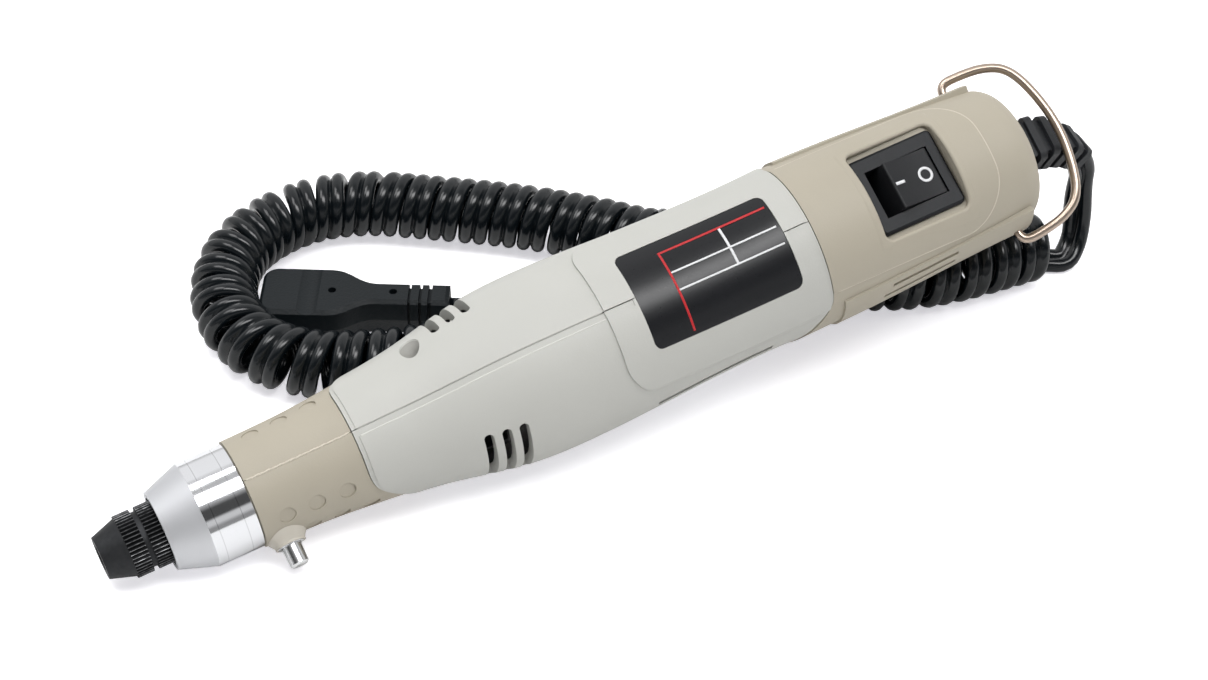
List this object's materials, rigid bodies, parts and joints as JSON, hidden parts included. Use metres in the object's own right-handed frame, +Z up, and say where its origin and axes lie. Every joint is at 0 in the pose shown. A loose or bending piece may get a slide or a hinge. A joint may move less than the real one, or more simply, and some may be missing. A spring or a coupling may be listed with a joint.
{
  "type": "micromotor handpiece",
  "caption": "Slim micromotor handpiece with knurled collet nut, clamping collar, spindle lock button, rocker switch, wire hanging loop and a curly cord ending in a flat plug.",
  "frame": {"origin": "on the table under the middle of the tool's bounding box, the cord left out", "axes": "+X along the tool towards the cord end, +Y away from the viewer, +Z up from the table"},
  "size_m": [0.2102, 0.0979, 0.0456],
  "materials": {
    "burnished_steel": "black burnished, knurled",
    "spring_steel": "hardened",
    "ground_steel": "ground",
    "zinc_steel": "zinc plated",
    "core_steel": "laminated",
    "turned_aluminium": "fine turned",
    "bright_wire": "bright drawn",
    "copper": "drawn copper",
    "brass": "stamped",
    "carbon": "pressed carbon",
    "ferrite": "sintered ferrite",
    "beige_nylon": "fine textured moulding",
    "grey_white_nylon": "fine textured moulding",
    "pale_bush": "moulded",
    "black_nylon": "moulded",
    "label_film": "printed film with no words",
    "switch_black": "moulded",
    "rocker_black": "moulded",
    "black_rubber": "soft PVC",
    "cord_black": "soft PVC",
    "plug_black": "moulded",
    "wire_red": "PVC insulation"
  },
  "bodies": {
    "housing": {"bearing_circlip": "spring_steel", "bearing_spacer": "ground_steel", "brush_arms": "brass", "cord_coil": "cord_black", "cord_lead": "cord_black", "cord_tail": "cord_black", "front_bearing_outer": "ground_steel", "left_grip": "beige_nylon", "left_shell": "grey_white_nylon", "lock_bush": "pale_bush", "lock_spring": "spring_steel", "motor_brushes": "carbon", "motor_can": "zinc_steel", "motor_endbell": "black_nylon", "motor_magnets": "ferrite", "motor_wires": "wire_red", "nose_collar": "turned_aluminium", "plug_body": "plug_black", "plug_contacts": "brass", "rating_label": "label_film", "rear_bearing_outer": "ground_steel", "rear_housing": "beige_nylon", "right_grip": "beige_nylon", "right_shell": "grey_white_nylon", "shell_screws": "burnished_steel", "strain_relief": "black_rubber", "switch_frame": "switch_black", "switch_terminals": "brass"},
    "spindle": {"spindle": "ground_steel", "front_bearing_inner": "ground_steel", "rear_bearing_inner": "ground_steel", "shaft_coupling": "black_nylon", "motor_shaft": "ground_steel", "cooling_fan": "black_nylon", "armature_core": "core_steel", "armature_windings": "copper", "commutator": "copper"},
    "collet": {"collet": "spring_steel"},
    "nut": {"collet_nut": "burnished_steel"},
    "lock": {"lock_button": "zinc_steel"},
    "rocker": {"switch_rocker": "rocker_black"},
    "bail": {"bail": "bright_wire"}
  },
  "joints": [
    {"name": "spindle_turn", "type": "hinge", "parent": "housing", "child": "spindle", "pos_m": [-0.0758, 0.00009, 0.01109], "axis": [-0.9914, 0, -0.1312], "continuous": true},
    {"name": "collet_slide", "type": "slide", "parent": "spindle", "child": "collet", "axis": [-0.9914, 0, -0.1312], "range_m": [0, 0.00075]},
    {"name": "nut_turn", "type": "hinge", "parent": "collet", "child": "nut", "pos_m": [-0.09563, 0.00009, 0.00847], "axis": [-0.9914, 0, -0.1312], "range_deg": [0, 360]},
    {"name": "lock_press", "type": "slide", "parent": "housing", "child": "lock", "axis": [-0.0691, 0.8499, 0.5224], "range_m": [0, 0.0016], "stiffness_N_per_m": 600, "springref_m": -0.001, "deforming": ["lock_spring"]},
    {"name": "rocker_tip", "type": "hinge", "parent": "housing", "child": "rocker", "pos_m": [0.0581, -0.00264, 0.03327], "axis": [0.0691, -0.8499, -0.5224], "range_deg": [0, 22]},
    {"name": "bail_swing", "type": "hinge", "parent": "housing", "child": "bail", "pos_m": [0.0786, 0.00009, 0.03153], "axis": [0.0691, -0.8499, -0.5224], "range_deg": [-5, 80]}
  ],
  "couplings": [
    {"joint": "nut_turn", "follows": "collet_slide", "rad_per_m": 8377.6}
  ]
}
